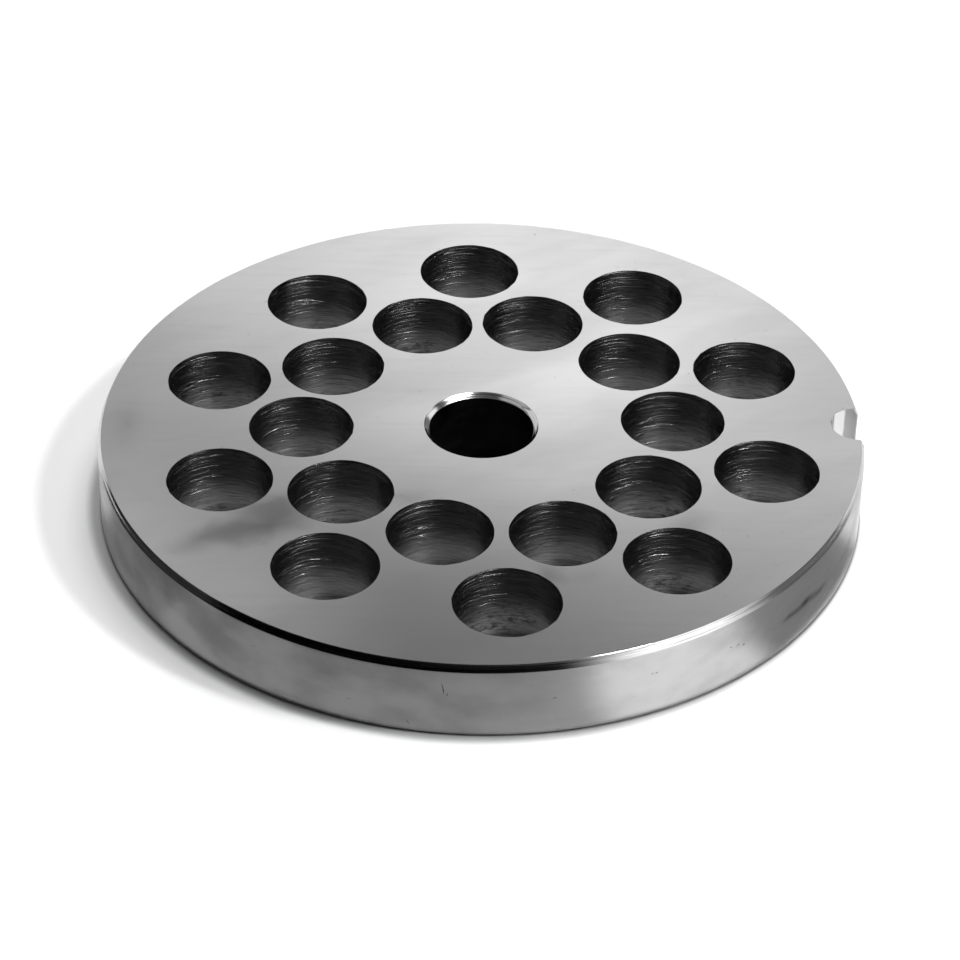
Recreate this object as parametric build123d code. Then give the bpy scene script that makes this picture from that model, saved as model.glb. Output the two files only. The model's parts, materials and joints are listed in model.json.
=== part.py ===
from build123d import *
import math
import os

# Meat grinder plate: one hardened steel disc that a knife sweeps over, turned, drilled and lapped.
# Millimetres. The origin is on the bore's axis at the underside, +Z goes up through the plate,
# and +X points at the key notch in the rim.

# Driving dimensions of the turned disc
plate_diameter = 70.0
plate_thickness = 7.5
rim_bevel_depth = 0.72        # down the rim from the cutting face
rim_bevel_run = 0.30          # in from the rim
underside_edge_break = 0.20   # knocks the sharp corner off the underside

# Driving dimensions of the centre bore, which runs on the feed screw's stud
bore_diameter = 9.6
bore_countersink_run = 0.45
bore_countersink_depth = 0.40

# Driving dimensions of the meat holes, set in staggered rows round the hub
hole_diameter = 9.525
holes_per_row = 10
web_along_row = 1.05          # least metal between neighbours in the hub row
web_between_rows = 1.42       # metal between a hole and its neighbours in the next row
least_hub_land = 3.0          # metal kept between the bore's mouth and the hub row
least_rim_land = 2.5          # metal kept between the last row and the rim
pattern_shift = 0.65          # the drilled pattern sits off centre, towards the notch
pattern_turn = 1.75           # degrees that the pattern is turned from the notch

# How far each hole was drilled off its mark, row by row: (outward, round the row)
hub_row_wander = [(-0.2, 0.0), (-0.2, -0.2), (0.2, 0.2), (0.25, 0.0), (0.05, 0.2),
                  (0.0, -0.25), (-0.2, -0.1), (-0.2, 0.05), (0.45, 0.15), (-0.1, -0.05)]
outer_row_wander = [(-0.15, 0.05), (-0.15, 0.0), (0.05, 0.4), (0.1, 0.05), (0.0, 0.0),
                    (-0.2, -0.25), (-0.15, -0.25), (0.4, 0.1), (0.05, 0.0), (0.05, -0.1)]

# Driving dimensions of the key notch, a half-round slot that stops the plate turning
notch_diameter = 4.9
notch_centre_inset = 0.5      # from the rim to the notch's centre
notch_edge_break = 0.15       # on the two upright corners where the notch opens at the rim

# Dependent sizes
plate_radius = plate_diameter / 2
bore_radius = bore_diameter / 2
bore_mouth_radius = bore_radius + bore_countersink_run
hole_radius = hole_diameter / 2
half_pitch = math.pi / holes_per_row
notch_centre_radius = plate_radius - notch_centre_inset
through_cut = plate_thickness * 3


def hub_row_radius():
    """The hub row is as tight as its webs allow, and no nearer the bore than its land."""
    packed = (hole_diameter + web_along_row) / (2 * math.sin(half_pitch))
    clear_of_hub = bore_mouth_radius + least_hub_land + hole_radius
    return max(packed, clear_of_hub)


def next_row_radius(radius):
    """The radius at which staggered holes keep their web to the row inside them."""
    spacing = hole_diameter + web_between_rows
    sideways = radius * math.sin(half_pitch)
    return radius * math.cos(half_pitch) + math.sqrt(max(0.0, spacing**2 - sideways**2))


def row_radii():
    """Rows follow one another outward for as long as they leave the rim its land."""
    last_radius = plate_radius - least_rim_land - hole_radius - pattern_shift
    radii = [hub_row_radius()]
    while next_row_radius(radii[-1]) <= last_radius:
        radii.append(next_row_radius(radii[-1]))
    return radii


def hole_centres():
    """(row, place, x, y) of each meat hole; every second row is staggered by half a pitch."""
    wanders = [hub_row_wander, outer_row_wander]
    centres = []
    for row, radius in enumerate(row_radii()):
        wander = wanders[row % len(wanders)]
        for place in range(holes_per_row):
            outward, along = wander[place % len(wander)]
            angle = math.radians(pattern_turn) + (2 * place + row % 2) * half_pitch
            x = pattern_shift + (radius + outward) * math.cos(angle) - along * math.sin(angle)
            y = (radius + outward) * math.sin(angle) + along * math.cos(angle)
            centres.append((row, place, x, y))
    return centres


def turned_disc():
    """The blank as it leaves the lathe: bevelled on top, edge broken below."""
    section = Polyline(
        (0, 0),
        (plate_radius - underside_edge_break, 0),
        (plate_radius, underside_edge_break),
        (plate_radius, plate_thickness - rim_bevel_depth),
        (plate_radius - rim_bevel_run, plate_thickness),
        (0, plate_thickness),
        close=True,
    )
    return revolve(Plane.XZ * make_face(section), Axis.Z)


def centre_bore():
    """The cutter for the reamed bore; each countersink's cone runs on as far past its face as it goes in."""
    far_radius = bore_mouth_radius + bore_countersink_run
    section = Polyline(
        (0, -bore_countersink_depth),
        (far_radius, -bore_countersink_depth),
        (bore_radius, bore_countersink_depth),
        (bore_radius, plate_thickness - bore_countersink_depth),
        (far_radius, plate_thickness + bore_countersink_depth),
        (0, plate_thickness + bore_countersink_depth),
        close=True,
    )
    return revolve(Plane.XZ * make_face(section), Axis.Z)


def meat_holes():
    """One straight drill for each hole."""
    drill = Cylinder(hole_radius, through_cut)
    return [Pos(x, y, plate_thickness / 2) * drill for _, _, x, y in hole_centres()]


def key_notch():
    """The cutter for the notch: a round end, a slot out through the rim, and a flare at its mouth."""
    notch_radius = notch_diameter / 2
    corner_x = math.sqrt(plate_radius**2 - notch_radius**2)
    slot_length = plate_radius + notch_radius - notch_centre_radius
    flare_start = corner_x - notch_edge_break
    flare_end = corner_x + notch_radius
    flare_half_width = notch_radius + flare_end - flare_start
    round_end = Pos(notch_centre_radius, 0) * Circle(notch_radius)
    slot = Pos(notch_centre_radius + slot_length / 2, 0) * Rectangle(slot_length, notch_diameter)
    flare = make_face(Polyline(
        (flare_start, -notch_radius),
        (flare_end, -flare_half_width),
        (flare_end, flare_half_width),
        (flare_start, notch_radius),
        close=True,
    ))
    outline = round_end + slot + flare
    return Pos(0, 0, -plate_thickness) * extrude(outline, through_cut)


def grinder_plate():
    """The finished plate, one solid."""
    plate = turned_disc() - centre_bore() - meat_holes() - key_notch()
    return plate


os.makedirs("parts", exist_ok=True)
plate = grinder_plate()
plate.label = "grinder_plate"
export_step(plate, "parts/grinder_plate.step")
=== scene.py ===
import json
import math
import random
from collections import namedtuple

import bmesh
import bpy
from mathutils import Matrix, Vector, noise
from mathutils.geometry import delaunay_2d_cdt


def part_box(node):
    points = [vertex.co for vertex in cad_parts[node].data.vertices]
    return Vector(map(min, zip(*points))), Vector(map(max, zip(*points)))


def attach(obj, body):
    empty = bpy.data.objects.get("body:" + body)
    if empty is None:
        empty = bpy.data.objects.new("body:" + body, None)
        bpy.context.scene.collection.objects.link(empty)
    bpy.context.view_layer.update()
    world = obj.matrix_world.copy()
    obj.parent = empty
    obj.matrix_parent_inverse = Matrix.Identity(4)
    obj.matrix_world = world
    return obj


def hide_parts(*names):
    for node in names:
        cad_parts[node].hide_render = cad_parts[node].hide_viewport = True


bl_info = {
    "name": "Meat grinder plate",
    "version": (1, 0, 0),
    "blender": (4, 5, 0),
    "location": "View3D > Sidebar > Grinder plate",
    "description": "Builds a drilled and lapped steel grinder plate with its studio",
    "category": "Object",
}

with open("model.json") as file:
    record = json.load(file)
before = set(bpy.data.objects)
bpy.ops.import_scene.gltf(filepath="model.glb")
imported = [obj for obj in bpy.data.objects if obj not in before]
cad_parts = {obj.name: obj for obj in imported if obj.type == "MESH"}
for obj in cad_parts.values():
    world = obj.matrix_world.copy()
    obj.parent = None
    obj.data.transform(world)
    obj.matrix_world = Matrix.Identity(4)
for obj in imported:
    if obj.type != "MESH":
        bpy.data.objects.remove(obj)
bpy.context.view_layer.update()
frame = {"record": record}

MM = 0.001
NODE = "grinder_plate"
BODY = "root"


def linear(hex_colour):
    """An sRGB hex colour such as C8C8C6 as three linear values."""
    channels = [int(hex_colour[i:i + 2], 16) / 255 for i in (0, 2, 4)]
    return [c / 12.92 if c <= 0.04045 else ((c + 0.055) / 1.055) ** 2.4 for c in channels]


def length_property(name, description, size_mm):
    return bpy.props.FloatProperty(
        name=name, description=description, default=size_mm * MM, min=0.0, unit="LENGTH", precision=5)


def colour_property(name, description, hex_colour):
    return bpy.props.FloatVectorProperty(
        name=name, description=description, default=linear(hex_colour), size=3, min=0.0, max=1.0,
        subtype="COLOR")


class PlateSizes(bpy.types.PropertyGroup):
    """Sizes that the frame doesn't give by itself."""
    hole_diameter: length_property("Meat hole", "Diameter of each meat hole", 9.525)
    bevel_depth: length_property("Bevel depth", "How far the rim's bevel comes down from the top", 0.72)
    bevel_run: length_property("Bevel run", "How far the bevel goes in from the rim", 0.30)
    edge_break: length_property("Underside edge", "Broken edge between the rim and the underside", 0.20)
    countersink_run: length_property("Countersink run", "How far the bore's mouth flares", 0.45)
    notch_width: length_property("Notch width", "Width of the key notch", 4.9)
    notch_inset: length_property("Notch inset", "From the rim in to the centre of the notch", 0.5)
    notch_edge: length_property("Notch edge", "Eased corners where the notch meets the rim", 0.15)


class SteelColours(bpy.types.PropertyGroup):
    """Base colours of the plate's surfaces."""
    lapped: colour_property("Lapped faces", "Bright ground and lapped steel", "C9C9C9")
    lapped_shade: colour_property("Lapped shade", "The same steel under a thin film", "BDBDBD")
    stain: colour_property("Oil stain", "The same steel under dried oil", "7C7C7C")
    turned: colour_property("Turned rim", "Turned steel with a dull film", "BEBEBE")
    bevel: colour_property("Turned bevel", "Freshly turned bevel and countersink", "C6C6C6")
    drilled: colour_property("Drilled holes", "Drilled steel that was never polished", "BCBCBC")
    # Painted shade: the drilled walls darken towards the top with this colour
    drilled_top_painted_shade: colour_property("Hole mouths", "The same steel, burnt near the cutting face", "4E4E4E")
    # Painted shade: the notch's middle keeps the first colour, and the second darkens its mouth and far end
    milled: colour_property("Milled notch", "Cut of an end mill, burnished by the key", "DCDCDC")
    milled_painted_shade: colour_property("Milled mouth", "The same cut where the key doesn't rub", "9C9C9C")
    # Near-black: painted shade over the whole bore, and also the colour of pits, dark marks, fine lines and
    # residue elsewhere
    scale: colour_property("Bore scale", "Black hardening scale left in the bore", "121212")


class StageLight(bpy.types.PropertyGroup):
    """Levels of the studio."""
    room: bpy.props.FloatProperty(name="Room", description="Soft light from all round", default=0.105)
    key: bpy.props.FloatProperty(name="Key lamp", description="Lamp to the right", default=1.19)
    top: bpy.props.FloatProperty(name="Top lamp", description="Lamp overhead", default=1.27)
    back: bpy.props.FloatProperty(name="Back lamp", description="Broad lamp at the back", default=1.1)
    glint: bpy.props.FloatProperty(name="Glint lamp", description="Shows in the metal only", default=6.5)


# Measured shape of the plate, from the frame

def plate_radius():
    low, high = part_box(NODE)
    return (high.y - low.y) / 2


def plate_thickness():
    low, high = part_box(NODE)
    return high.z - low.z


def hole_centres():
    """The centre of each meat hole, in the middle of its opening in the record."""
    boxes = [o["box_m"] for o in frame["record"]["physics"]["openings"]]
    return [((low[0] + high[0]) / 2, (low[1] + high[1]) / 2) for low, high in boxes]


def bore_mount():
    return next(m for m in frame["record"]["mounts"] if m["name"] == "centre_bore")


# The mesh

RIM_STEPS = 384                # points round each loop
NOTCH_STEPS = 28
HOLE_STEPS = 60
BORE_STEPS = 120
BEVEL_ROWS = 8                 # strips down each surface
RIM_ROWS = 26
HOLE_ROWS = 24
BORE_ROWS = 12
SINK_ROWS = 7
FINE_EDGE = 0.03 * MM          # the least rounding that a turned edge keeps
BEVEL_EASE = 0.3               # share of the fine edge that the bevel's foot stands in from the rim
EDGE_ROUND = 0.4               # share of the underside's broken edge where its middle point stands
BURR = 0.04 * MM               # height of the burrs on the keen edges of the drilled holes
SMOOTH_BELOW = math.radians(20)

# Turned grooves: their depth, how it swings round the turn, and how far the rows and depths scatter
TURNED_GROOVE = 0.022 * MM
SINK_GROOVE = 0.026 * MM
RIM_RIPPLE = 0.0012 * MM
GROOVE_MEAN = 0.55
GROOVE_SWING = 0.9
GROOVE_WAVES = 2.2
GROOVE_ROW_SHIFT = 1.7
LEAST_CUT = 0.3
ROW_SCATTER = 0.3
RIM_SEED = 11
BORE_SEED = 12
BORE_ROW_SHIFT = 50            # keeps the bore's grooves unlike the rim's

# Rings, scores and nicks that the drill left in each meat hole
DRILL_RING = 0.008 * MM
SCORES = 9
SCORE_DEPTH = 0.022 * MM
SCORE_HALF_WIDTH = 0.05 * MM
SCORE_CLEAR = 2.2 * SCORE_HALF_WIDTH
SCORE_DEPTHS = (0.04, 0.8)     # where scores lie, as shares of the plate's thickness from the top
SCORE_MEAN = 0.25
SCORE_SWING = 2.2
SCORE_WAVES = 1.4
HOLE_SHIFT = 3.1               # keeps the scores of each hole and row unlike the others'
HOLE_ROW_SHIFT = 0.77
RING_TILT = 0.16 * MM          # how far the rings stand off level, halfway down
NICK = 0.05 * MM
NICK_RARITY = 6                # a higher power leaves fewer deep nicks
HOLE_SEED = 100

# Triangles over the flat faces
FACE_GRID = 1.6 * MM
GRID_CLEAR = 0.7 * FACE_GRID
GRID_ROW = math.sqrt(0.75)     # from one row of the grid to the next, as a share of its step
SAME_POINT = 1e-9

LAPPED, RIM, BEVEL, HOLE, BORE, SINK, NOTCH = range(7)

# One loop of a turned surface: where it lies, what is below it, and the cut that crosses it
Level = namedtuple("Level", "radius height material cut_out cut_up", defaults=(0.0, 0.0))


def round_noise(angle, waves, shift):
    """Noise that changes slowly round a turn and closes on itself."""
    return noise.noise(Vector((math.cos(angle) * waves, math.sin(angle) * waves, shift)))


def groove_strength(angle, row):
    """How deep a turned groove is at this angle: it comes and goes slowly round the turn."""
    return GROOVE_MEAN + GROOVE_SWING * round_noise(angle, GROOVE_WAVES, row * GROOVE_ROW_SHIFT)


def turned_point(level, angle, deep):
    """A point of a turned surface, moved by its share of the level's cut."""
    out = level.radius + level.cut_out * deep
    return out * math.cos(angle), out * math.sin(angle), level.height + level.cut_up * deep


def rim_outline(level, row, sizes):
    """The plate's outline at one level of its rim: round the rim, then round the notch."""
    radius, height = level.radius, level.height
    notch_radius = sizes.notch_width / 2
    notch_centre = plate_radius() - sizes.notch_inset
    start = math.asin((notch_radius + sizes.notch_edge) / radius)
    mouth_x = math.sqrt(radius**2 - notch_radius**2) - sizes.notch_edge
    mouth = math.acos(max(-1.0, min(1.0, (mouth_x - notch_centre) / notch_radius)))
    points = []
    for i in range(RIM_STEPS + 1):
        angle = start + (math.tau - 2 * start) * i / RIM_STEPS
        deep = groove_strength(angle, row) if 0 < i < RIM_STEPS else 0.0
        points.append(turned_point(level, angle, deep))
    for i in range(NOTCH_STEPS + 1):
        angle = -mouth - (math.tau - 2 * mouth) * i / NOTCH_STEPS
        points.append((notch_centre + notch_radius * math.cos(angle), notch_radius * math.sin(angle), height))
    return points


def bore_outline(level, row):
    """The bore's outline at one level."""
    points = []
    for i in range(BORE_STEPS):
        angle = math.tau * i / BORE_STEPS
        points.append(turned_point(level, angle, groove_strength(angle, row + BORE_ROW_SHIFT)))
    return points


def groove_row(start, end, rows, depth, material, dice):
    """Levels of a turned line from start to end, each (radius, height), cut to and fro across it."""
    along = Vector(end) - Vector(start)
    across = Vector((-along.y, along.x)).normalized()
    levels = []
    for i in range(rows + 1):
        inner = i not in (0, rows)
        cut = dice.uniform(LEAST_CUT, 1) * depth * (-1) ** i if inner else 0.0
        spot = Vector(start) + along * ((i + inner * dice.uniform(-ROW_SCATTER, ROW_SCATTER)) / rows)
        levels.append(Level(spot.x, spot.y, material, across.x * cut, across.y * cut))
    return levels


def rim_levels(sizes):
    """Levels from the top edge of the rim down to the underside, each with the material below it."""
    dice = random.Random(RIM_SEED)
    radius, top = plate_radius(), plate_thickness()
    inner = radius - sizes.bevel_run
    bevel_foot, wall_foot = top - sizes.bevel_depth, sizes.edge_break
    levels = [Level(inner - FINE_EDGE, top, BEVEL)]
    levels += groove_row(
        (inner, top - FINE_EDGE), (radius - BEVEL_EASE * FINE_EDGE, bevel_foot + FINE_EDGE),
        BEVEL_ROWS, TURNED_GROOVE, BEVEL, dice)
    levels[-1] = Level(levels[-1].radius, levels[-1].height, RIM)
    wall = groove_row((radius, bevel_foot - FINE_EDGE), (radius, wall_foot), RIM_ROWS, RIM_RIPPLE, RIM, dice)
    levels += [level._replace(cut_out=-abs(level.cut_out), cut_up=0.0) for level in wall]
    levels.append(Level(radius - EDGE_ROUND * sizes.edge_break, EDGE_ROUND * wall_foot, RIM))
    levels.append(Level(radius - sizes.edge_break, 0.0, RIM))
    return levels


def bore_levels(sizes):
    """The same for the bore: countersink, reamed wall, countersink."""
    dice = random.Random(BORE_SEED)
    top = plate_thickness()
    radius = bore_mount()["dims"]["r_mm"] * MM
    sink_depth = (top - bore_mount()["dims"]["length_mm"] * MM) / 2
    wall_top, mouth = top - sink_depth, radius + sizes.countersink_run
    levels = groove_row((mouth, top), (radius, wall_top), SINK_ROWS, SINK_GROOVE, SINK, dice)
    levels[-1] = Level(radius, wall_top, BORE)
    levels += groove_row((radius, wall_top), (radius, sink_depth), BORE_ROWS, RIM_RIPPLE, BORE, dice)[1:]
    levels[-1] = Level(radius, sink_depth, SINK)
    levels += groove_row((radius, sink_depth), (mouth, 0.0), SINK_ROWS, SINK_GROOVE, SINK, dice)[1:]
    return levels


def hole_rows(dice, top):
    """Heights down a drilled wall, each with how far it is cut back: faint rings and deeper scores."""
    wall_top, wall_foot = top - BURR, BURR
    rows = [(wall_top + (wall_foot - wall_top) * i / HOLE_ROWS, dice.uniform(-1, 1) * DRILL_RING)
            for i in range(1, HOLE_ROWS)]
    for _ in range(SCORES):
        height = top - dice.uniform(*SCORE_DEPTHS) * top
        rows = [row for row in rows if abs(row[0] - height) > SCORE_CLEAR]
        rows += [(height + SCORE_HALF_WIDTH, 0.0), (height, SCORE_DEPTH), (height - SCORE_HALF_WIDTH, 0.0)]
    return sorted(rows, reverse=True)


def score_strength(angle, shift):
    """How much of a ring or score is there at this angle: it runs over part of the turn."""
    return max(0.0, min(1.0, SCORE_MEAN + SCORE_SWING * round_noise(angle, SCORE_WAVES, shift)))


def hole_loops(centre, number, sizes):
    """Outlines of one drilled hole from top to bottom, nicked at the top edge and tilted between."""
    dice = random.Random(HOLE_SEED + number)
    top, radius = plate_thickness(), sizes.hole_diameter / 2
    rows = hole_rows(dice, top)
    phase = dice.uniform(0, math.tau)
    nicks = [dice.random() ** NICK_RARITY * NICK for _ in range(HOLE_STEPS)]
    turns = [math.tau * i / HOLE_STEPS for i in range(HOLE_STEPS)]

    def loop(radii, heights):
        return [(centre[0] + out * math.cos(angle), centre[1] + out * math.sin(angle), height)
                for angle, out, height in zip(turns, radii, heights)]

    def plain_loop(height):
        return loop([radius] * HOLE_STEPS, [height] * HOLE_STEPS)

    loops = [loop([radius + nick for nick in nicks], [top] * HOLE_STEPS), plain_loop(top - BURR)]
    for row, (height, depth) in enumerate(rows):
        shift = number * HOLE_SHIFT + row * HOLE_ROW_SHIFT
        tilt = RING_TILT * math.sin(math.pi * height / top)
        loops.append(loop([radius + depth * score_strength(angle, shift) for angle in turns],
                          [height + tilt * math.cos(angle - phase) for angle in turns]))
    return loops + [plain_loop(BURR), plain_loop(0.0)]


def skin(bm, loops, materials, outward):
    """Quads between loops of vertices; materials has one number for each strip or a list round it."""
    for upper, lower, material in zip(loops, loops[1:], materials):
        count = len(upper)
        for i in range(count):
            j = (i + 1) % count
            corners = (lower[i], lower[j], upper[j], upper[i])
            face = bm.faces.new(corners if outward else corners[::-1])
            face.material_index = material[i] if isinstance(material, list) else material


def vertex_loop(bm, outline):
    return [bm.verts.new(point) for point in outline]


def inside(point, outline):
    """True if a point is inside a closed outline."""
    x, y = point
    crossings = 0
    for (ax, ay), (bx, by) in zip(outline, outline[1:] + outline[:1]):
        if (ay > y) != (by > y) and x < ax + (bx - ax) * (y - ay) / (by - ay):
            crossings += 1
    return crossings % 2 == 1


def middle_of(verts):
    return sum((v.co.xy for v in verts), Vector((0, 0))) / len(verts)


def grid_spots():
    """Points of a triangular grid over the plate."""
    steps = int(plate_radius() / FACE_GRID)
    for row in range(-steps, steps + 1):
        for column in range(-steps, steps + 1):
            yield Vector(((column + 0.5 * (row % 2)) * FACE_GRID, row * FACE_GRID * GRID_ROW))


def fill_face(bm, outer, holes, height, upward):
    """Triangles over a flat face, between its outer loop and the loops of its holes."""
    verts = []
    edges = []
    for loop in [outer] + holes:
        first = len(verts)
        edges += [(first + i, first + (i + 1) % len(loop)) for i in range(len(loop))]
        verts += loop
    points = [Vector(v.co.xy) for v in verts]
    circles = []
    for loop in holes:
        centre = middle_of(loop)
        circles.append((centre, max((v.co.xy - centre).length for v in loop), [tuple(v.co.xy) for v in loop]))
    rim = [v.co.xy for v in outer]
    farthest = plate_radius() - 2 * GRID_CLEAR
    for spot in grid_spots():
        if any((spot - centre).length < reach + GRID_CLEAR for centre, reach, _ in circles):
            continue
        if spot.length > farthest or min((spot - edge).length for edge in rim) < GRID_CLEAR:
            continue
        if inside(spot, rim):
            points.append(spot)
            verts.append(bm.verts.new((spot.x, spot.y, height)))
    _, _, triangles, origins, _, _ = delaunay_2d_cdt(points, edges, [], 0, SAME_POINT)
    for triangle in triangles:
        corners = [verts[origins[i][0]] for i in triangle]
        middle = middle_of(corners)
        if any((middle - centre).length < reach and inside(middle, hole) for centre, reach, hole in circles):
            continue
        if inside(middle, rim):
            face = bm.faces.new(corners if upward else corners[::-1])
            face.material_index = LAPPED


def plate_mesh(sizes):
    """The whole plate as one closed mesh."""
    bm = bmesh.new()
    levels = rim_levels(sizes)
    outer = [vertex_loop(bm, rim_outline(level, row, sizes)) for row, level in enumerate(levels)]
    round_rim = [[level.material] * (RIM_STEPS + 1) + [NOTCH] * NOTCH_STEPS + [level.material]
                 for level in levels]
    skin(bm, outer, round_rim, outward=True)

    levels = bore_levels(sizes)
    bore = [vertex_loop(bm, bore_outline(level, row)) for row, level in enumerate(levels)]
    skin(bm, bore, [level.material for level in levels], outward=False)

    tops, feet = [bore[0]], [bore[-1]]
    for number, centre in enumerate(hole_centres()):
        loops = [vertex_loop(bm, loop) for loop in hole_loops(centre, number, sizes)]
        skin(bm, loops, [HOLE] * len(loops), outward=False)
        tops.append(loops[0])
        feet.append(loops[-1])
    fill_face(bm, outer[0], tops, plate_thickness(), upward=True)
    fill_face(bm, outer[-1], feet, 0.0, upward=False)

    for face in bm.faces:
        face.smooth = True
    for edge in bm.edges:
        one, other = edge.link_faces
        edge.smooth = one.material_index == other.material_index and edge.calc_face_angle() < SMOOTH_BELOW
    mesh = bpy.data.meshes.new("plate_body")
    bm.to_mesh(mesh)
    bm.free()
    return mesh


# Materials: lengths inside patterns and marks are in mm

EASED = {"interpolation_type": "SMOOTHSTEP"}


def add_node(tree, kind, inputs=None, **settings):
    """Adds a node, with its settings, and with a value, a node or a socket for each of its inputs."""
    made = tree.nodes.new(kind)
    for name, value in settings.items():
        setattr(made, name, value)
    for name, value in (inputs or {}).items():
        if isinstance(value, bpy.types.Node):
            value = next(socket for socket in value.outputs if socket.enabled)
        if isinstance(value, bpy.types.NodeSocket):
            tree.links.new(value, made.inputs[name])
        else:
            made.inputs[name].default_value = value
    return made


def new_material(name):
    """A material with an empty tree, and the object's coordinates in it."""
    material = bpy.data.materials.new(name)
    material.use_nodes = True
    tree = material.node_tree
    tree.nodes.clear()
    return material, tree, add_node(tree, "ShaderNodeTexCoord").outputs["Object"]


def finish_material(material, kind, inputs):
    """Ends a material with this kind of shader."""
    tree = material.node_tree
    add_node(tree, "ShaderNodeOutputMaterial", {"Surface": add_node(tree, kind, inputs)})
    return material


def finish_metal(material, inputs):
    return finish_material(material, "ShaderNodeBsdfPrincipled", {"Metallic": 1.0, **inputs})


def pattern(tree, place, size, turn=0.0, detail=2.0, roughness=0.5):
    """Noise whose features have this real length, width and height."""
    placed = add_node(tree, "ShaderNodeMapping", {
        "Vector": place, "Rotation": (0.0, 0.0, turn), "Scale": [s * MM for s in size],
    }, vector_type="TEXTURE")
    return add_node(tree, "ShaderNodeTexNoise", {
        "Vector": placed, "Scale": 1.0, "Detail": detail, "Roughness": roughness})


def soft_spot(tree, place, x, y, length, width, turn=0.0):
    """1 in the middle of an ellipse, falling to 0 at its edge; turn in degrees."""
    placed = add_node(tree, "ShaderNodeMapping", {
        "Vector": place, "Location": (x * MM, y * MM, 0.0), "Rotation": (0.0, 0.0, math.radians(turn)),
        "Scale": (length / 2 * MM, width / 2 * MM, 1.0),
    }, vector_type="TEXTURE")
    flat = add_node(tree, "ShaderNodeVectorMath", {0: placed, 1: (1, 1, 0)}, operation="MULTIPLY")
    return add_node(tree, "ShaderNodeTexGradient", {"Vector": flat}, gradient_type="SPHERICAL").outputs["Fac"]


def marks(tree, place, spots):
    """The sum of soft spots, each (x, y, length, width, turn, strength)."""
    total = 0.0
    for *spot, strength in spots:
        total = add_node(tree, "ShaderNodeMath", {
            0: soft_spot(tree, place, *spot), 1: strength, 2: total}, operation="MULTIPLY_ADD")
    return total


def wandered(tree, place, size, amount):
    """The same place, pushed about by noise of this size, which makes the edge of a mark ragged."""
    cloud = add_node(tree, "ShaderNodeTexNoise", {"Vector": place, "Scale": 1 / (size * MM), "Detail": 3.0})
    push = add_node(tree, "ShaderNodeVectorMath", {
        0: cloud.outputs["Color"], 1: (0.5, 0.5, 0.5)}, operation="SUBTRACT")
    return add_node(tree, "ShaderNodeVectorMath", {
        0: push, 1: [2 * amount * MM] * 3, 2: place}, operation="MULTIPLY_ADD")


# Stains on the cutting face: (x, y, length, width, turn in degrees, strength)
STAINS = [
    (-18.6, -14.8, 14, 6.5, 24, 0.85),
    (-19.4, -12.0, 11, 5.0, 8, 0.6),
    (-24.6, -17.4, 12, 5.5, 24, 0.6),
    (-6.8, -11.2, 7, 3.6, 6, 0.4),
    (-32.5, 0.5, 7, 14, 0, 0.4),
    (4.9, -22.2, 4.0, 6.4, 10, 0.45),
    (8.2, -22.8, 9, 4.6, 0, 0.25),
    (-6.3, -23.2, 10, 7.0, 0, 0.15),
    (17.5, -15.5, 8, 6.0, 60, 0.5),
]
LAPPED_WAVE = 0.012 * MM       # heights of its bumps
LAPPED_SCRATCH = 0.0004 * MM


def lapped_steel(colours):
    """Hardened steel, ground and lapped: a soft mirror with clouds, faint scratches and a few pits."""
    # The grit's own scratches are too fine to show, so they are drawn 0.16 mm wide.
    material, tree, place = new_material("lapped_steel")
    cloud = pattern(tree, place, (16, 16, 16), detail=3.0)
    film = pattern(tree, place, (26, 11, 20), turn=0.5, detail=4.0)
    strokes = pattern(tree, place, (7, 0.7, 1), turn=-0.04, detail=3.0)
    scratch = pattern(tree, place, (9, 0.16, 1), turn=0.45)
    pits = pattern(tree, place, (0.3, 0.3, 0.3), detail=1.0)
    stains = marks(tree, wandered(tree, place, 5, 1.6), STAINS)
    filmed = add_node(tree, "ShaderNodeMapRange", {"Value": film, "From Min": 0.4, "From Max": 0.68}, **EASED)
    pale = add_node(tree, "ShaderNodeMix", {
        "Factor": filmed, "A": (*colours.lapped, 1), "B": (*colours.lapped_shade, 1)}, data_type="RGBA")
    stroked = add_node(tree, "ShaderNodeMapRange", {
        "Value": strokes, "From Min": 0.45, "From Max": 0.8, "To Max": 0.05}, **EASED)
    streaked = add_node(tree, "ShaderNodeMix", {
        "Factor": stroked, "A": pale, "B": (*colours.stain, 1)}, data_type="RGBA")
    soaked = add_node(tree, "ShaderNodeMapRange", {"Value": stains, "From Max": 1.1}, **EASED)
    stained = add_node(tree, "ShaderNodeMix", {
        "Factor": soaked, "A": streaked, "B": (*colours.stain, 1)}, data_type="RGBA")
    pit = add_node(tree, "ShaderNodeMapRange", {
        "Value": pits, "From Min": 0.765, "From Max": 0.8, "To Max": 0.85}, **EASED)
    pitted = add_node(tree, "ShaderNodeMix", {
        "Factor": pit, "A": stained, "B": (*colours.scale, 1)}, data_type="RGBA")
    gloss = add_node(tree, "ShaderNodeMapRange", {
        "Value": film, "From Min": 0.3, "From Max": 0.7, "To Min": 0.16, "To Max": 0.2}, **EASED)
    wave = add_node(tree, "ShaderNodeBump", {"Height": cloud, "Distance": LAPPED_WAVE})
    scored = add_node(tree, "ShaderNodeBump", {"Height": scratch, "Distance": LAPPED_SCRATCH, "Normal": wave})
    return finish_metal(material, {"Base Color": pitted, "Roughness": gloss, "Normal": scored})


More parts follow.
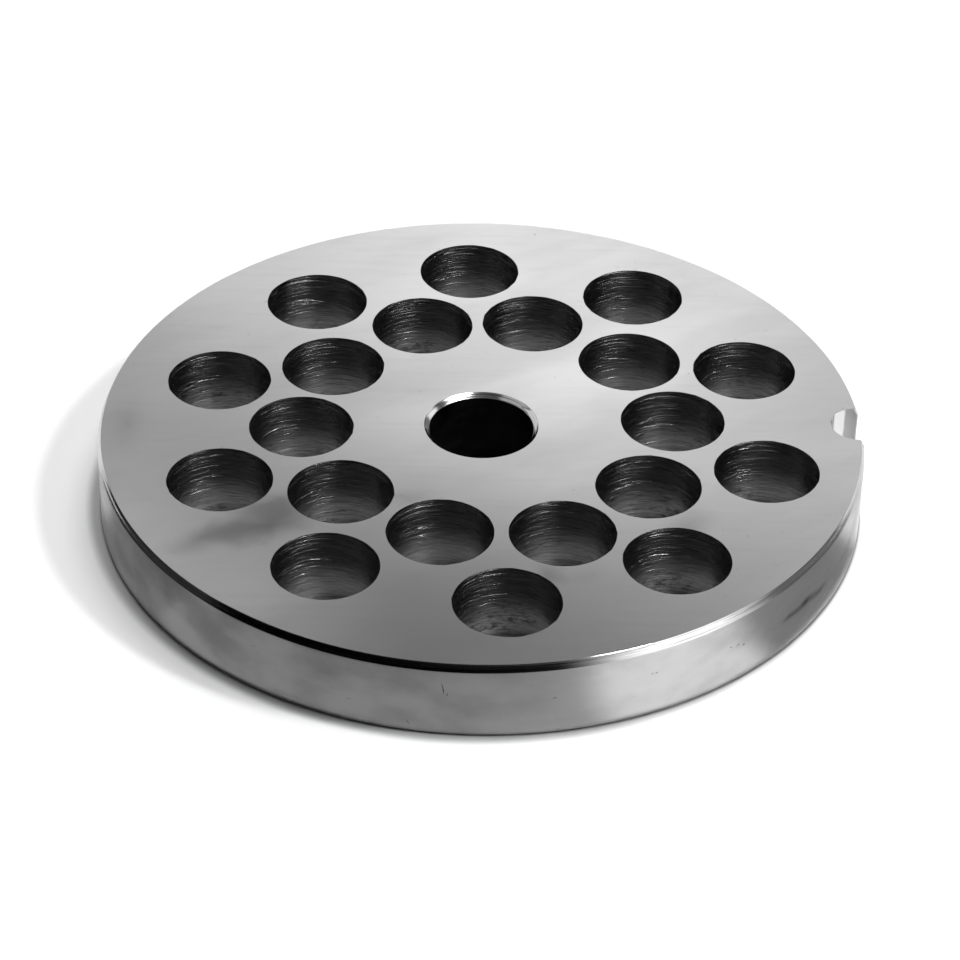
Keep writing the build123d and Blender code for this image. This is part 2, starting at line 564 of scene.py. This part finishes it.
# Marks on the rim: (degrees round from the notch, height, length, width, turn in degrees, strength)
RIM_MARKS = [
    (-96.7, 5.0, 1.5, 0.11, 112, 1.3),
    (-96.0, 4.4, 0.5, 0.1, 100, 1.2),
    (-81.2, 3.85, 0.6, 0.12, 8, 1.2),
    (-66.9, 4.45, 0.3, 0.2, 0, 1.2),
    (-66.2, 4.4, 0.35, 0.2, 0, 1.2),
    (-53.7, 4.0, 0.25, 0.2, 0, 1.2),
    (-52.3, 3.9, 0.5, 0.2, 30, 0.9),
    (-51.2, 3.7, 0.35, 0.3, 0, 0.9),
    (-41.3, 3.4, 3.6, 1.2, 4, 0.6),
    (-37.2, 3.4, 4.6, 1.5, 4, 0.8),
    (-33.2, 3.1, 3.8, 1.3, 4, 0.65),
    (-101.5, 1.0, 0.7, 0.1, 120, 0.9),
    (-110.0, 2.4, 1.0, 0.3, 0, 0.4),
    (-125.0, 4.8, 1.2, 0.2, 10, 0.4),
]
RIM_CLOUD_SHADE = 0.7          # how dark the film's clouds are
RIM_FEED_LINE = 0.002 * MM     # heights of its bumps
RIM_WAVE = 0.01 * MM
ALONG_THE_LINES = 0.25         # quarter of a turn, which spreads the light across the turned lines


def turned_steel(colours):
    """The rim, turned in the lathe: fine grooves round it spread the light up and down."""
    # Real feed lines are about 0.05 mm apart, too fine to show, so they are drawn 0.12 mm apart.
    material, tree, place = new_material("turned_steel")
    grooves = pattern(tree, place, (30, 30, 0.12), detail=3.0)
    cloud = pattern(tree, place, (7, 7, 4), detail=4.0)
    parts = add_node(tree, "ShaderNodeSeparateXYZ", {"Vector": place}).outputs
    turn = add_node(tree, "ShaderNodeMath", {0: parts["Y"], 1: parts["X"]}, operation="ARCTAN2")
    around = add_node(tree, "ShaderNodeMath", {0: turn, 1: plate_radius()}, operation="MULTIPLY")
    unrolled = add_node(tree, "ShaderNodeCombineXYZ", {"X": around, "Y": parts["Z"]})
    spots = [(math.radians(at) * plate_radius() / MM, *rest) for at, *rest in RIM_MARKS]
    dark = marks(tree, wandered(tree, unrolled, 1.2, 0.25), spots)
    clouds = add_node(tree, "ShaderNodeMapRange", {
        "Value": cloud, "From Min": 0.35, "From Max": 0.7}, **EASED)
    clouded = add_node(tree, "ShaderNodeMix", {
        "Factor": clouds, "A": (*colours.turned, 1),
        "B": (*[c * RIM_CLOUD_SHADE for c in colours.turned], 1)}, data_type="RGBA")
    marked = add_node(tree, "ShaderNodeMapRange", {"Value": dark}, **EASED)
    colour = add_node(tree, "ShaderNodeMix", {
        "Factor": marked, "A": clouded, "B": (*colours.scale, 1)}, data_type="RGBA")
    gloss = add_node(tree, "ShaderNodeMapRange", {
        "Value": cloud, "From Min": 0.3, "From Max": 0.7, "To Min": 0.32, "To Max": 0.42}, **EASED)
    round_it = add_node(tree, "ShaderNodeTangent", direction_type="RADIAL", axis="Z")
    lines = add_node(tree, "ShaderNodeBump", {"Height": grooves, "Distance": RIM_FEED_LINE})
    wave = add_node(tree, "ShaderNodeBump", {"Height": cloud, "Distance": RIM_WAVE, "Normal": lines})
    return finish_metal(material, {
        "Base Color": colour, "Roughness": gloss, "Anisotropic": 0.6, "Anisotropic Rotation": ALONG_THE_LINES,
        "Tangent": round_it, "Normal": wave})


TOOL_LINE = 0.007 * MM         # height of the bevel's bumps


def bevelled_steel(colours):
    """The bevel and the countersinks, cut last: bright, with the lines of the tool."""
    material, tree, place = new_material("bevelled_steel")
    grooves = pattern(tree, place, (14, 14, 0.07), detail=2.0)
    torn = pattern(tree, place, (9, 9, 0.06), detail=4.0, roughness=0.7)
    dulled = add_node(tree, "ShaderNodeMapRange", {
        "Value": torn, "From Min": 0.5, "From Max": 0.62, "To Max": 0.85}, **EASED)
    colour = add_node(tree, "ShaderNodeMix", {
        "Factor": dulled, "A": (*colours.bevel, 1), "B": (*colours.stain, 1)}, data_type="RGBA")
    gloss = add_node(tree, "ShaderNodeMapRange", {
        "Value": grooves, "From Min": 0.3, "From Max": 0.7, "To Min": 0.1, "To Max": 0.18}, **EASED)
    lines = add_node(tree, "ShaderNodeBump", {"Height": grooves, "Distance": TOOL_LINE})
    return finish_metal(material, {"Base Color": colour, "Roughness": gloss, "Normal": lines})


# Heights between which a drilled wall changes: towards the top its colour is darkened as painted shade, and
# it is torn more
WALL_GRADE_FROM, WALL_GRADE_TO = 0.5 * MM, 5.0 * MM
TORN_FROM, TORN_TO = 1.5 * MM, 4.5 * MM
# Heights of the drilled walls' bumps
DRILL_RING_BUMP = 0.06 * MM
DRILL_DASH_BUMP = 0.07 * MM
# Ledges that the drill left in the holes: (depth, how far they sway up and down)
LEDGES = [(0.7, 0.8), (3.0, 2.2)]
LEDGE_RUN = 0.09 * MM
LEDGE_STEP = 0.08 * MM


def residue_on_walls(tree, place, height):
    """Where dried residue darkens a drilled wall: in patches, and more of it low down."""
    residue = pattern(tree, place, (0.9, 0.9, 0.4), detail=5.0, roughness=0.7)
    patches = pattern(tree, place, (7, 7, 4), detail=2.0)
    low = add_node(tree, "ShaderNodeMapRange", {
        "Value": height, "From Min": WALL_GRADE_FROM, "From Max": WALL_GRADE_TO,
        "To Min": 0.07, "To Max": 0.0}, **EASED)
    gathered = add_node(tree, "ShaderNodeMapRange", {
        "Value": patches, "From Min": 0.4, "From Max": 0.65, "To Min": -0.1, "To Max": 0.08}, **EASED)
    lowered = add_node(tree, "ShaderNodeMath", {0: residue, 1: low}, operation="ADD")
    dirt = add_node(tree, "ShaderNodeMath", {0: lowered, 1: gathered}, operation="ADD")
    return add_node(tree, "ShaderNodeMapRange", {
        "Value": dirt, "From Min": 0.57, "From Max": 0.78, "To Max": 0.7}, **EASED)


def drilled_relief(tree, place, height):
    """Rings, torn dashes and broken ledges of a drilled wall, as bumps on one another."""
    rings = pattern(tree, place, (8, 8, 0.16), detail=3.0)
    dashes = pattern(tree, place, (5, 5, 0.07), detail=2.0)
    wander = pattern(tree, place, (9, 9, 90), detail=1.0)
    broken = pattern(tree, place, (1.6, 1.6, 90), detail=3.0)
    relief = add_node(tree, "ShaderNodeBump", {"Height": rings, "Distance": DRILL_RING_BUMP})
    tearing = add_node(tree, "ShaderNodeMapRange", {
        "Value": height, "From Min": TORN_FROM, "From Max": TORN_TO, "To Min": 0.25, "To Max": 1.0}, **EASED)
    relief = add_node(tree, "ShaderNodeBump", {
        "Height": dashes, "Distance": DRILL_DASH_BUMP, "Strength": tearing, "Normal": relief})
    for depth, sway in LEDGES:
        level = add_node(tree, "ShaderNodeMath", {
            0: wander, 1: sway * MM, 2: height}, operation="MULTIPLY_ADD")
        foot = plate_thickness() + (sway / 2 - depth) * MM
        ledge = add_node(tree, "ShaderNodeMapRange", {
            "Value": level, "From Min": foot, "From Max": foot + LEDGE_RUN,
            "To Min": 1.0, "To Max": 0.0}, **EASED)
        kept = add_node(tree, "ShaderNodeMapRange", {
            "Value": broken, "From Min": 0.42, "From Max": 0.56}, **EASED)
        relief = add_node(tree, "ShaderNodeBump", {
            "Height": ledge, "Distance": LEDGE_STEP, "Strength": kept, "Normal": relief})
    return relief


def drilled_steel(colours):
    """Drilled walls, never polished: rings and torn dashes from the drill, painted shade darkening them
    towards the top, and dried residue low down.
    """
    material, tree, place = new_material("drilled_steel")
    height = add_node(tree, "ShaderNodeSeparateXYZ", {"Vector": place}).outputs["Z"]
    fine = pattern(tree, place, (2.2, 2.2, 0.06), detail=3.0, roughness=0.7)
    # Painted shade: the wall's colour darkens towards the top
    top_shade_share = add_node(tree, "ShaderNodeMapRange", {
        "Value": height, "From Min": WALL_GRADE_FROM, "From Max": WALL_GRADE_TO}, **EASED)
    painted_shade = add_node(tree, "ShaderNodeMix", {
        "Factor": top_shade_share, "A": (*colours.drilled, 1), "B": (*colours.drilled_top_painted_shade, 1)}, data_type="RGBA")
    lines = add_node(tree, "ShaderNodeMapRange", {
        "Value": fine, "From Min": 0.5, "From Max": 0.62, "To Max": 0.6}, **EASED)
    lined = add_node(tree, "ShaderNodeMix", {
        "Factor": lines, "A": painted_shade, "B": (*colours.scale, 1)}, data_type="RGBA")
    colour = add_node(tree, "ShaderNodeMix", {
        "Factor": residue_on_walls(tree, place, height),
        "A": lined, "B": (*colours.scale, 1)}, data_type="RGBA")
    upright = add_node(tree, "ShaderNodeCombineXYZ", {"Z": 1.0})
    return finish_metal(material, {
        "Base Color": colour, "Roughness": 0.25, "Anisotropic": 0.75, "Tangent": upright,
        "Normal": drilled_relief(tree, place, height)})


BORE_PATCHES_PALER = 1.6              # how much paler the bore's patches are
BORE_BUMP = 0.01 * MM         # height of its bumps


def bore_steel_painted_dark(colours):
    """The bore, painted near-black as painted shade for its deep inside, with paler patches and a low sheen.
    """
    material, tree, place = new_material("bore_steel_painted_dark")
    # Painted shade: the bore's base colour is near-black
    patches = pattern(tree, place, (2, 2, 1), detail=4.0)
    worn = add_node(tree, "ShaderNodeMapRange", {"Value": patches, "From Min": 0.4, "From Max": 0.7}, **EASED)
    colour = add_node(tree, "ShaderNodeMix", {
        "Factor": worn, "A": (*colours.scale, 1),
        "B": (*[c * BORE_PATCHES_PALER for c in colours.scale], 1)}, data_type="RGBA")
    gloss = add_node(tree, "ShaderNodeMapRange", {
        "Value": patches, "From Min": 0.3, "From Max": 0.7, "To Min": 0.35, "To Max": 0.5}, **EASED)
    rough = add_node(tree, "ShaderNodeBump", {"Height": patches, "Distance": BORE_BUMP})
    return finish_metal(material, {"Base Color": colour, "Roughness": gloss, "Normal": rough})


# Where the notch changes, from the bore's axis outward: darker far end, pale middle, darker mouth; the darker
# ends are painted shade
NOTCH_END = (32.1 * MM, 32.6 * MM)
NOTCH_MOUTH = (33.5 * MM, 33.75 * MM)
CHATTER = 0.003 * MM           # height of its bumps


def milled_steel(colours):
    """The notch, milled with an end mill: pale in the middle, rougher at its mouth, and darker at its mouth
    and far end, which is painted shade.
    """
    material, tree, place = new_material("milled_steel")
    chatter = pattern(tree, place, (0.25, 0.25, 6), detail=2.0)
    ragged = wandered(tree, place, 0.8, 0.12)
    outward = add_node(tree, "ShaderNodeSeparateXYZ", {"Vector": ragged}).outputs["X"]
    # Painted shade: darker towards the mouth and at the far end
    mouth = add_node(tree, "ShaderNodeMapRange", {
        "Value": outward, "From Min": NOTCH_MOUTH[0], "From Max": NOTCH_MOUTH[1]}, **EASED)
    mouth_shaded = add_node(tree, "ShaderNodeMix", {
        "Factor": mouth, "A": (*colours.milled, 1), "B": (*colours.milled_painted_shade, 1)}, data_type="RGBA")
    end = add_node(tree, "ShaderNodeMapRange", {
        "Value": outward, "From Min": NOTCH_END[0], "From Max": NOTCH_END[1],
        "To Min": 0.15, "To Max": 0.0}, **EASED)
    colour = add_node(tree, "ShaderNodeMix", {
        "Factor": end, "A": mouth_shaded, "B": (*colours.milled_painted_shade, 1)}, data_type="RGBA")
    gloss = add_node(tree, "ShaderNodeMapRange", {"Value": mouth, "To Min": 0.12, "To Max": 0.3}, **EASED)
    lines = add_node(tree, "ShaderNodeBump", {"Height": chatter, "Distance": CHATTER})
    return finish_metal(material, {"Base Color": colour, "Roughness": gloss, "Normal": lines})


# The stage: all angles are counter-clockwise, seen from above

CAMERA_TURN = math.radians(-2.07)      # the picture's right-hand side, from the notch
CAMERA_RISE = math.radians(36.18)
CAMERA_ROLL = math.radians(1.126)
CAMERA_DISTANCE = 308.1 * MM
CAMERA_LENS = 129.2
CAMERA_SENSOR = 36.0
CAMERA_SEES = (0.01, 20.0)             # nearest and farthest, in metres
AIM_ASIDE = -0.04 * MM                 # from the middle of the cutting face
AIM_FORWARD = -8.59 * MM


def picture_axes():
    """Unit vectors to the right of the picture and away from the camera, both level."""
    right = Vector((math.cos(CAMERA_TURN), math.sin(CAMERA_TURN), 0.0))
    return right, Vector((-right.y, right.x, 0.0))


def make_camera():
    right, away = picture_axes()
    looking = away * math.cos(CAMERA_RISE) - Vector((0, 0, math.sin(CAMERA_RISE)))
    upright = right.cross(looking)
    side = right * math.cos(CAMERA_ROLL) + upright * math.sin(CAMERA_ROLL)
    up = upright * math.cos(CAMERA_ROLL) - right * math.sin(CAMERA_ROLL)
    aim = right * AIM_ASIDE + away * AIM_FORWARD + Vector((0, 0, plate_thickness()))
    data = bpy.data.cameras.new("camera")
    data.lens, data.sensor_width = CAMERA_LENS, CAMERA_SENSOR
    data.clip_start, data.clip_end = CAMERA_SEES
    camera = bpy.data.objects.new("camera", data)
    camera.matrix_world = Matrix.Translation(aim - looking * CAMERA_DISTANCE) @ Matrix(
        (side, up, -looking)).transposed().to_4x4()
    bpy.context.scene.collection.objects.link(camera)
    bpy.context.scene.camera = camera


def link_stage(name, mesh, material):
    made = bpy.data.objects.new(name, mesh)
    mesh.materials.append(material)
    bpy.context.scene.collection.objects.link(made)
    return made


def seen_in_metal_only(thing):
    """Makes a studio card show in reflections and nowhere else."""
    thing.visible_camera = False
    thing.visible_diffuse = False
    thing.visible_transmission = False
    thing.visible_volume_scatter = False
    thing.visible_shadow = False


FLOOR_RADIUS = 6.0
FLOOR_STEPS = 96
FLOOR_GAP = 0.01 * MM
FLOOR_WHITE = 0.95                     # brightness of the card, of the painted shadow in its band by the plate, and of the painted shadow under the plate
PAINTED_SHADOW_GREY = 0.5
UNDER_PLATE_PAINTED_SHADOW = 0.3
PAINTED_SHADOW_WIDTH = 1.1 * MM                 # of the painted shadow's band, which is pushed to the left and the front
PAINTED_SHADOW_PUSH = (-0.5 * MM, -0.15 * MM, 0.0)
UNDER_PLATE_SHADOW_EDGE = (-0.04 * MM, 0.21 * MM)   # from the rim, where the painted shadow under the plate starts and stops fading


def floor_material():
    """Matt white card with a painted shadow: grey right beside the plate, where it is never fully lit, and
    darker grey under it.
    """
    material, tree, place = new_material("white_card_painted_shadow")
    # Painted shadow: the card's colour turns grey beside the plate and darker grey under it
    beside = add_node(tree, "ShaderNodeVectorMath", {0: place, 1: PAINTED_SHADOW_PUSH}, operation="SUBTRACT")
    reach = add_node(tree, "ShaderNodeVectorMath", {0: beside}, operation="LENGTH")
    shade = add_node(tree, "ShaderNodeMapRange", {
        "Value": reach, "From Min": plate_radius(), "From Max": plate_radius() + PAINTED_SHADOW_WIDTH,
        "To Min": PAINTED_SHADOW_GREY, "To Max": FLOOR_WHITE}, **EASED)
    grey = add_node(tree, "ShaderNodeCombineXYZ", {"X": shade, "Y": shade, "Z": shade})
    distance = add_node(tree, "ShaderNodeVectorMath", {0: place}, operation="LENGTH")
    outside = add_node(tree, "ShaderNodeMapRange", {
        "Value": distance, "From Min": plate_radius() + UNDER_PLATE_SHADOW_EDGE[0],
        "From Max": plate_radius() + UNDER_PLATE_SHADOW_EDGE[1]}, **EASED)
    colour = add_node(tree, "ShaderNodeMix", {
        "Factor": outside, "A": (UNDER_PLATE_PAINTED_SHADOW, UNDER_PLATE_PAINTED_SHADOW, UNDER_PLATE_PAINTED_SHADOW, 1), "B": grey}, data_type="RGBA")
    return finish_material(material, "ShaderNodeBsdfPrincipled", {
        "Base Color": colour, "Roughness": 1.0, "Specular IOR Level": 0.0})


def make_floor():
    bm = bmesh.new()
    bmesh.ops.create_circle(bm, cap_ends=True, segments=FLOOR_STEPS, radius=FLOOR_RADIUS,
                            matrix=Matrix.Translation((0, 0, -FLOOR_GAP)))
    mesh = bpy.data.meshes.new("floor")
    bm.to_mesh(mesh)
    bm.free()
    link_stage("floor", mesh, floor_material())


def card_material(name, glow, feather):
    """A card that glows evenly, or a black one, with both ends fading away."""
    material, tree, _ = new_material(name)
    share = add_node(tree, "ShaderNodeUVMap")
    along = add_node(tree, "ShaderNodeSeparateXYZ", {"Vector": share}).outputs["X"]
    from_end = add_node(tree, "ShaderNodeMath", {0: along, 1: 0.5}, operation="PINGPONG")
    there = add_node(tree, "ShaderNodeMapRange", {"Value": from_end, "From Max": feather}, **EASED)
    lit = add_node(tree, "ShaderNodeEmission", {"Color": (1, 1, 1, 1), "Strength": glow})
    clear = add_node(tree, "ShaderNodeBsdfTransparent")
    return finish_material(material, "ShaderNodeMixShader", {0: there, 1: clear, 2: lit})


# Cards round the plate: (name, start, end in degrees from the picture's right, glow, share that fades at
# each end, profile), where the profile is the card's bends as (distance from the middle, height) in mm
UPRIGHT = ((50, 0.2), (65, 0.2), (65, 45))
FLAT = ((35.3, 0.1), (50, 0.1))
CARDS = [
    ("dark_card_right", -40, 4, 0.2, 0.08, UPRIGHT),
    ("dark_card_left", -192, -142, 0.035, 0.08, ((50, 0.2), (65, 0.2), (65, 20))),
    ("dark_card_front", -150, -60, 0.0, 0.05, UPRIGHT),
    ("fill_card_right", 18, 45, 1.4, 0.15, ((110, 4), (110, 85))),
    ("fill_card_left", 120, 160, 1.0, 0.08, ((110, 2), (110, 190))),
    ("fill_card_high", 160, 226, 0.6, 0.15, ((110, 28), (110, 200))),
    ("bright_card", -74, -21.5, 2.4, 0.5, ((64, 0), (64, 34))),
    ("bright_card_high", -66, 0, 5.0, 0.1, ((68, 48), (68, 112))),
    ("flat_card_left", -174, -142, 0.3, 0.15, FLAT),
    ("flat_card_front", -148, -64, 0.42, 0.08, ((35.3, 0.15), (50, 0.15))),
    ("flat_card_right", -50, -8, 0.25, 0.15, FLAT),
    ("flat_card_bright", -75, -39, 1.1, 0.22, ((35.3, 0.25), (50, 0.25))),
]
CARD_STEPS = 24


def bent_card(name, start, end, glow, feather, profile):
    """A card bent round the plate."""
    bm = bmesh.new()
    share = bm.loops.layers.uv.new("share")
    rows = []
    for radius, height in profile:
        row = []
        for i in range(CARD_STEPS + 1):
            angle = CAMERA_TURN + math.radians(start + (end - start) * i / CARD_STEPS)
            row.append((radius * MM * math.cos(angle), radius * MM * math.sin(angle), height * MM))
        rows.append(vertex_loop(bm, row))
    for inner, outer in zip(rows, rows[1:]):
        for i in range(CARD_STEPS):
            face = bm.faces.new((inner[i], inner[i + 1], outer[i + 1], outer[i]))
            for loop, at in zip(face.loops, (i, i + 1, i + 1, i)):
                loop[share].uv = (at / CARD_STEPS, 0.5)
    mesh = bpy.data.meshes.new(name)
    bm.to_mesh(mesh)
    bm.free()
    seen_in_metal_only(link_stage(name, mesh, card_material(name, glow, feather)))


SOFTBOX_AWAY = 150 * MM
SOFTBOX_WIDTH = 320 * MM
SOFTBOX_HEIGHT = 260 * MM
SOFTBOX_GLOW = 0.2
# Brighter patches on the softbox: (aside, height, half width, half height in mm, glow)
SOFTBOX_PATCHES = [
    (4, 68, 119, 86, 1.12),
    (10, 106, 52, 28, 0.6),
    (22, 121, 28, 16, 0.4),
    (90, 137, 84, 126, 0.77),
    (-55, 135, 19, 15, 0.85),
    (-36, 149, 22, 14, 0.75),
    (-115, 22, 90, 60, 1.0),
    (-80, 90, 59, 15, 0.67),
]


def softbox_material():
    """A softbox behind the plate, with brighter patches."""
    material, tree, place = new_material("softbox")
    parts = add_node(tree, "ShaderNodeSeparateXYZ", {"Vector": place}).outputs
    flat = add_node(tree, "ShaderNodeCombineXYZ", {"X": parts["X"], "Y": parts["Z"]})
    glow = SOFTBOX_GLOW
    for x, z, half_width, half_height, more in SOFTBOX_PATCHES:
        spot = soft_spot(tree, flat, x, z, 2 * half_width, 2 * half_height)
        patch = add_node(tree, "ShaderNodeMapRange", {"Value": spot}, **EASED)
        glow = add_node(tree, "ShaderNodeMath", {0: patch, 1: more, 2: glow}, operation="MULTIPLY_ADD")
    return finish_material(material, "ShaderNodeEmission", {"Color": (1, 1, 1, 1), "Strength": glow})


def make_softbox():
    half = SOFTBOX_WIDTH / 2
    corners = [(-half, 0, 0), (half, 0, 0), (half, 0, SOFTBOX_HEIGHT), (-half, 0, SOFTBOX_HEIGHT)]
    mesh = bpy.data.meshes.new("softbox")
    mesh.from_pydata(corners, [], [(0, 1, 2, 3)])
    softbox = link_stage("softbox", mesh, softbox_material())
    _, away = picture_axes()
    softbox.location = away * SOFTBOX_AWAY
    softbox.rotation_euler = (0.0, 0.0, CAMERA_TURN)
    seen_in_metal_only(softbox)


# (turn from the picture's right, rise, width) of each lamp, in degrees
KEY_LAMP = (-8, 48.8, 8)
TOP_LAMP = (108, 81, 10)
BACK_LAMP = (48, 69, 28)
GLINT_LAMP = (-42, 47, 14)


def make_lamp(name, energy, turn, rise, width):
    """A distant lamp."""
    lamp = bpy.data.lights.new(name, "SUN")
    lamp.energy, lamp.angle = energy, math.radians(width)
    made = bpy.data.objects.new(name, lamp)
    turn, rise = CAMERA_TURN + math.radians(turn), math.radians(rise)
    towards = Vector((math.cos(turn) * math.cos(rise), math.sin(turn) * math.cos(rise), math.sin(rise)))
    made.rotation_euler = towards.to_track_quat("Z", "Y").to_euler()
    made.location = towards
    bpy.context.scene.collection.objects.link(made)
    return made


def make_lights(levels):
    """The room's even light, and four lamps: two out of the metal's sight, one in its sight only."""
    world = bpy.data.worlds.new("room")
    world.use_nodes = True
    tree = world.node_tree
    tree.nodes.clear()
    sky = add_node(tree, "ShaderNodeBackground", {"Color": (1, 1, 1, 1), "Strength": levels.room})
    add_node(tree, "ShaderNodeOutputWorld", {"Surface": sky})
    bpy.context.scene.world = world
    make_lamp("key_lamp", levels.key, *KEY_LAMP).visible_glossy = False
    make_lamp("top_lamp", levels.top, *TOP_LAMP).visible_glossy = False
    make_lamp("back_lamp", levels.back, *BACK_LAMP)
    make_lamp("glint_lamp", levels.glint, *GLINT_LAMP).visible_diffuse = False


# Operators and panel

class GRINDER_OT_make_plate(bpy.types.Operator):
    """Build the grinder plate over its CAD solid"""
    bl_idname = "grinder.make_plate"
    bl_label = "Make plate"

    def execute(self, context):
        scene = context.scene
        mesh = plate_mesh(scene.plate_sizes)
        colours = scene.steel_colours
        for make in (lapped_steel, turned_steel, bevelled_steel, drilled_steel, bore_steel_painted_dark):
            mesh.materials.append(make(colours))
        mesh.materials.append(mesh.materials[BEVEL])
        mesh.materials.append(milled_steel(colours))
        plate = bpy.data.objects.new("plate_body", mesh)
        scene.collection.objects.link(plate)
        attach(plate, BODY)
        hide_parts(NODE)
        return {"FINISHED"}


class GRINDER_OT_make_stage(bpy.types.Operator):
    """Set the floor, the cards, the lights and the camera round the plate"""
    bl_idname = "grinder.make_stage"
    bl_label = "Make stage"

    def execute(self, context):
        make_camera()
        make_floor()
        make_softbox()
        for card in CARDS:
            bent_card(*card)
        make_lights(context.scene.stage_light)
        context.scene.view_settings.view_transform = "Standard"
        return {"FINISHED"}


class GRINDER_PT_sidebar(bpy.types.Panel):
    """Sizes, colours and steps of the grinder plate"""
    bl_label = "Grinder plate"
    bl_idname = "GRINDER_PT_sidebar"
    bl_space_type = "VIEW_3D"
    bl_region_type = "UI"
    bl_category = "Grinder plate"

    def draw(self, context):
        for group in (context.scene.plate_sizes, context.scene.steel_colours, context.scene.stage_light):
            box = self.layout.box()
            for name in group.__annotations__:
                box.prop(group, name)
        for operator in (GRINDER_OT_make_stage, GRINDER_OT_make_plate):
            self.layout.operator(operator.bl_idname)


CLASSES = (PlateSizes, SteelColours, StageLight, GRINDER_OT_make_plate, GRINDER_OT_make_stage,
           GRINDER_PT_sidebar)


def register():
    for cls in CLASSES:
        bpy.utils.register_class(cls)
    bpy.types.Scene.plate_sizes = bpy.props.PointerProperty(type=PlateSizes)
    bpy.types.Scene.steel_colours = bpy.props.PointerProperty(type=SteelColours)
    bpy.types.Scene.stage_light = bpy.props.PointerProperty(type=StageLight)


def unregister():
    del bpy.types.Scene.stage_light
    del bpy.types.Scene.steel_colours
    del bpy.types.Scene.plate_sizes
    for cls in reversed(CLASSES):
        bpy.utils.unregister_class(cls)


def main():
    register()
    bpy.ops.grinder.make_stage()
    bpy.ops.grinder.make_plate()


if __name__ == "__main__":
    main()
